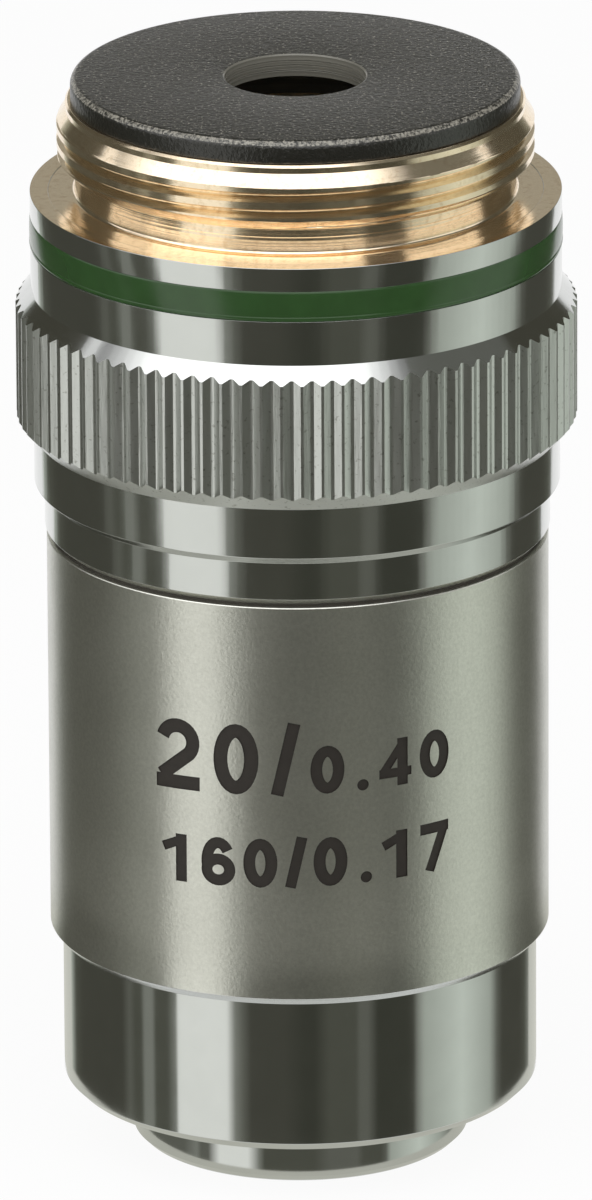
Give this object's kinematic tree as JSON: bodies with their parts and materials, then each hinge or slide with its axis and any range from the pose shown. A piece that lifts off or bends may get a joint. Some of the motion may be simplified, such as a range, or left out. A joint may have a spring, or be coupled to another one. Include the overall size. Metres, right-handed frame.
{
  "type": "microscope objective",
  "caption": "Plated microscope objective with a brass mounting thread, a straight knurled grip, a green band and a spring-loaded nose.",
  "frame": {"origin": "centre of the mounting shoulder, the plane that seats against the nosepiece", "axes": "+Z along the optical axis to the eye side; -Y faces the viewer of the picture"},
  "size_m": [0.0238, 0.0238, 0.0474],
  "materials": {
    "brass": "turned and polished",
    "plated": "polished plate",
    "satin": "satin plate",
    "black_cap": "matt moulded",
    "green_enamel": "glossy enamel",
    "black_brass": "blackened",
    "spring_steel": "drawn wire",
    "glass": "polished optical glass"
  },
  "bodies": {
    "shell": {"rear_cap": "black_cap", "mount_ring": "brass", "knurled_barrel": "plated", "colour_ring": "green_enamel", "outer_sleeve": "satin", "spring_seat": "black_brass", "return_spring": "spring_steel"},
    "nose": {"lens_tube": "black_brass", "guide_pin": "spring_steel", "nose_barrel": "plated", "front_cell": "plated", "front_lens": "glass", "middle_cell": "black_brass", "middle_crown_lens": "glass", "middle_flint_lens": "glass", "cell_spacer": "black_brass", "rear_cell": "black_brass", "rear_crown_lens": "glass", "rear_flint_lens": "glass", "aperture_stop": "black_brass", "lock_ring": "black_brass"}
  },
  "joints": [
    {"name": "nose_slide", "type": "slide", "parent": "shell", "child": "nose", "axis": [0, 0, 1], "range_m": [0, 0.003], "stiffness_N_per_m": 300, "springref_m": -0.006, "deforming": ["return_spring"]}
  ]
}
